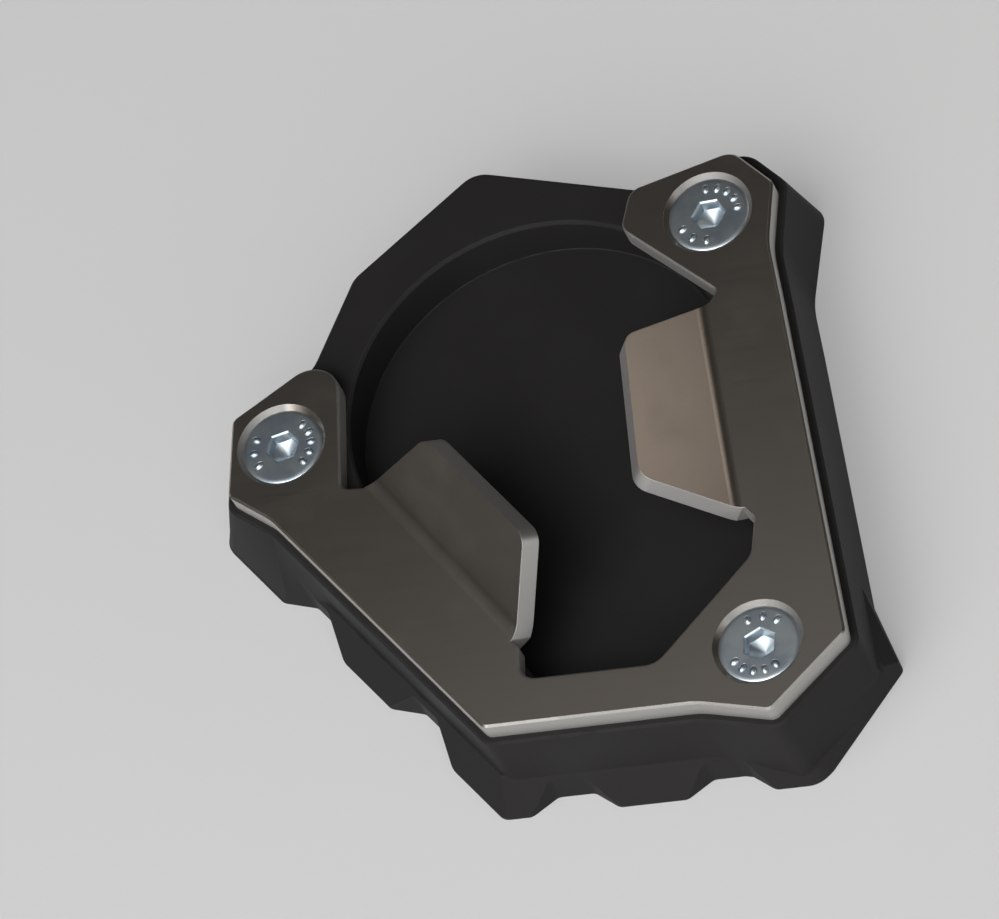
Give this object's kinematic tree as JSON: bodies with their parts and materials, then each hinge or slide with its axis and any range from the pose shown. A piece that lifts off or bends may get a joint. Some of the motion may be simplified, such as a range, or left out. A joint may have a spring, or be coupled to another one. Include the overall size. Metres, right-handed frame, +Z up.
{
  "type": "kickstand foot enlarger",
  "caption": "Kickstand foot enlarger: a pocketed black base with a notched skirt and a bent clamp plate, held by countersunk screws.",
  "frame": {"origin": "on the ground face, below the middle of the foot pocket", "axes": "+Z up, +X along the straight front edge, +Y to the rear"},
  "size_m": [0.0981, 0.0938, 0.0275],
  "materials": {
    "base": "black anodised, satin",
    "clamp": "satin stainless",
    "screw": "bright zinc"
  },
  "bodies": {
    "root": {"base_plate": "base", "clamp_plate": "clamp", "screw_left": "screw", "screw_rear": "screw", "screw_front_right": "screw"}
  },
  "joints": []
}
